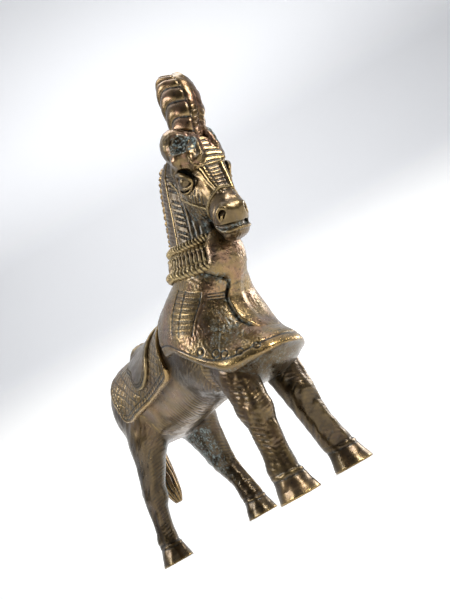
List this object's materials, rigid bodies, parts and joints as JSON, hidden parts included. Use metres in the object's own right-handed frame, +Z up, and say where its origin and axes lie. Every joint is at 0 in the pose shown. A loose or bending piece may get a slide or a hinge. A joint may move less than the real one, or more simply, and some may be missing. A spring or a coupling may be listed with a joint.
{
  "type": "horse statuette",
  "caption": "Standing bronze horse figurine with an upright forelock crest, braided mane, collar, flared chest cloth and saddle.",
  "frame": {"origin": "on the surface it stands on, under the middle of its bounding box", "axes": "+Z up, -Y the way the horse faces, +X towards the horse's left"},
  "size_m": [0.0446, 0.144, 0.147],
  "materials": {
    "bronze_hide": "aged bronze, dark brown in the engraved hair and rubbed golden on the high edges",
    "bronze_hair": "aged bronze, dark between the ribs and strands and rubbed on their crowns",
    "bronze_cloth": "aged bronze, pitted and slightly rosy, with a polished golden lip and green in the seam",
    "bronze_tack": "aged bronze, green in the recesses and bright on the raised cords",
    "bronze_pin": "plain drawn bronze rod"
  },
  "bodies": {
    "root": {"body_half_right": "bronze_hide", "body_half_left": "bronze_hide", "neck": "bronze_hide", "neck_dowel": "bronze_pin", "head": "bronze_hide", "head_dowel": "bronze_pin", "forelock_crest": "bronze_hair", "ear_right": "bronze_hide", "ear_left": "bronze_hide", "mane_braid": "bronze_hair", "bridle": "bronze_tack", "collar_upper_rope": "bronze_tack", "collar_fringe": "bronze_tack", "collar_lower_rope": "bronze_tack", "chest_cloth_right": "bronze_cloth", "chest_cloth_left": "bronze_cloth", "breast_panel": "bronze_cloth", "saddle_cloth": "bronze_cloth", "saddle": "bronze_tack", "leg_front_right": "bronze_hide", "leg_front_left": "bronze_hide", "leg_hind_right": "bronze_hide", "leg_hind_left": "bronze_hide", "tail": "bronze_hair", "tail_dowel": "bronze_pin"}
  },
  "joints": []
}
